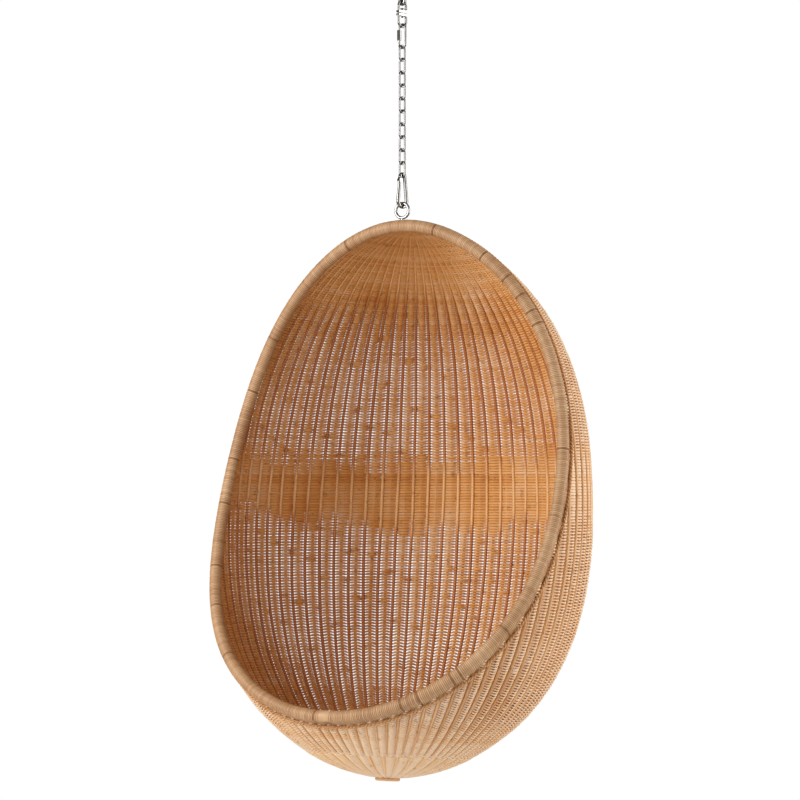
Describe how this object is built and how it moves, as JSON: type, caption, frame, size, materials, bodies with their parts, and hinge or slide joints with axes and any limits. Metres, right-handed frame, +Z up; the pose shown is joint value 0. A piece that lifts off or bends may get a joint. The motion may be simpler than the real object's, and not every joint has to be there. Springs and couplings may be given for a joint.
{
  "type": "hanging egg chair",
  "caption": "Egg-shaped woven rattan chair with a bound rim round its open front, hung from a ceiling plate by snap hooks, a swivel, a quick link and a chain.",
  "frame": {"origin": "centre of the ceiling plate's upper face, straight above the chair's eye bolt", "axes": "+Z up out of the plate into the ceiling, the chair's opening faces -Y, +X is the sitter's left"},
  "size_m": [0.8506, 0.7464, 1.7968],
  "materials": {
    "ceiling_metal": "satin",
    "hook_metal": "polished",
    "swivel_metal": "polished",
    "link_metal": "polished",
    "chain_metal": "polished",
    "bolt_metal": "satin",
    "rim_steel": "matte",
    "rim_peel": "satin",
    "woven_rattan": "satin",
    "foot_disc": "matte"
  },
  "bodies": {
    "ceiling": {"ceiling_plate": "ceiling_metal", "ceiling_eye": "ceiling_metal"},
    "upper_hook": {"upper_hook": "hook_metal", "upper_rivet": "hook_metal"},
    "upper_gate": {"upper_gate": "hook_metal"},
    "swivel_top": {"swivel_top_eye": "swivel_metal", "swivel_washer": "swivel_metal"},
    "swivel_bottom": {"swivel_pin": "swivel_metal", "swivel_bottom_eye": "swivel_metal"},
    "quick_link": {"quick_link": "link_metal"},
    "sleeve": {"quick_link_sleeve": "link_metal"},
    "link_01": {"chain_link_01": "chain_metal"},
    "link_02": {"chain_link_02": "chain_metal"},
    "link_03": {"chain_link_03": "chain_metal"},
    "link_04": {"chain_link_04": "chain_metal"},
    "link_05": {"chain_link_05": "chain_metal"},
    "link_06": {"chain_link_06": "chain_metal"},
    "link_07": {"chain_link_07": "chain_metal"},
    "link_08": {"chain_link_08": "chain_metal"},
    "link_09": {"chain_link_09": "chain_metal"},
    "link_10": {"chain_link_10": "chain_metal"},
    "lower_hook": {"lower_hook": "hook_metal", "lower_rivet": "hook_metal"},
    "lower_gate": {"lower_gate": "hook_metal"},
    "chair": {"eye_bolt": "bolt_metal", "eye_washer": "bolt_metal", "eye_nut": "bolt_metal", "rim_tube": "rim_steel", "rim_binding": "rim_peel", "shell_foot_left": "woven_rattan", "shell_foot_middle": "woven_rattan", "shell_foot_right": "woven_rattan", "shell_seat_left": "woven_rattan", "shell_seat_middle": "woven_rattan", "shell_seat_right": "woven_rattan", "shell_waist_left": "woven_rattan", "shell_waist_middle": "woven_rattan", "shell_waist_right": "woven_rattan", "shell_back_left": "woven_rattan", "shell_back_middle": "woven_rattan", "shell_back_right": "woven_rattan", "shell_crown": "woven_rattan", "base_disc": "foot_disc"}
  },
  "joints": [
    {"name": "upper_hook_swing", "type": "hinge", "parent": "ceiling", "child": "upper_hook", "pos_m": [0, 0, -0.039], "axis": [0.284, 0.9588, 0], "range_deg": [-30, 30]},
    {"name": "upper_gate_open", "type": "hinge", "parent": "upper_hook", "child": "upper_gate", "pos_m": [-0.00761, 0.00226, -0.08935], "axis": [0.284, 0.9588, 0], "range_deg": [0, 25], "stiffness_Nm_per_rad": 0.05, "springref_deg": -11.46},
    {"name": "swivel_swing", "type": "hinge", "parent": "upper_hook", "child": "swivel_top", "pos_m": [0, 0, -0.1027], "axis": [0.9588, -0.284, 0], "range_deg": [-30, 30]},
    {"name": "swivel_turn", "type": "hinge", "parent": "swivel_top", "child": "swivel_bottom", "pos_m": [0, 0, -0.1229], "axis": [0, 0, 1], "continuous": true},
    {"name": "quick_link_swing", "type": "hinge", "parent": "swivel_bottom", "child": "quick_link", "pos_m": [0, 0, -0.15305], "axis": [-0.284, -0.9588, 0], "range_deg": [-30, 30]},
    {"name": "sleeve_slide", "type": "slide", "parent": "quick_link", "child": "sleeve", "axis": [0, 0, -1], "range_m": [0, 0.0075]},
    {"name": "link_01_swing", "type": "hinge", "parent": "quick_link", "child": "link_01", "pos_m": [0, 0, -0.1995], "axis": [-0.9588, 0.284, 0], "range_deg": [-35, 35]},
    {"name": "link_02_swing", "type": "hinge", "parent": "link_01", "child": "link_02", "pos_m": [0, 0, -0.22765], "axis": [0.284, 0.9588, 0], "range_deg": [-35, 35]},
    {"name": "link_03_swing", "type": "hinge", "parent": "link_02", "child": "link_03", "pos_m": [0, 0, -0.25605], "axis": [0.9588, -0.284, 0], "range_deg": [-35, 35]},
    {"name": "link_04_swing", "type": "hinge", "parent": "link_03", "child": "link_04", "pos_m": [0, 0, -0.28445], "axis": [-0.284, -0.9588, 0], "range_deg": [-35, 35]},
    {"name": "link_05_swing", "type": "hinge", "parent": "link_04", "child": "link_05", "pos_m": [0, 0, -0.31285], "axis": [-0.9588, 0.284, 0], "range_deg": [-35, 35]},
    {"name": "link_06_swing", "type": "hinge", "parent": "link_05", "child": "link_06", "pos_m": [0, 0, -0.34125], "axis": [0.284, 0.9588, 0], "range_deg": [-35, 35]},
    {"name": "link_07_swing", "type": "hinge", "parent": "link_06", "child": "link_07", "pos_m": [0, 0, -0.36965], "axis": [0.9588, -0.284, 0], "range_deg": [-35, 35]},
    {"name": "link_08_swing", "type": "hinge", "parent": "link_07", "child": "link_08", "pos_m": [0, 0, -0.39805], "axis": [-0.284, -0.9588, 0], "range_deg": [-35, 35]},
    {"name": "link_09_swing", "type": "hinge", "parent": "link_08", "child": "link_09", "pos_m": [0, 0, -0.42645], "axis": [-0.9588, 0.284, 0], "range_deg": [-35, 35]},
    {"name": "link_10_swing", "type": "hinge", "parent": "link_09", "child": "link_10", "pos_m": [0, 0, -0.45485], "axis": [0.284, 0.9588, 0], "range_deg": [-35, 35]},
    {"name": "lower_hook_swing", "type": "hinge", "parent": "link_10", "child": "lower_hook", "pos_m": [0, 0, -0.48325], "axis": [0.9588, -0.284, 0], "range_deg": [-30, 30]},
    {"name": "lower_gate_open", "type": "hinge", "parent": "lower_hook", "child": "lower_gate", "pos_m": [-0.00226, -0.00761, -0.49005], "axis": [0.9588, -0.284, 0], "range_deg": [0, 25], "stiffness_Nm_per_rad": 0.05, "springref_deg": -11.46},
    {"name": "chair_swing", "type": "hinge", "parent": "lower_hook", "child": "chair", "pos_m": [0, 0, -0.5487], "axis": [-0.284, -0.9588, 0], "range_deg": [-30, 30]}
  ]
}
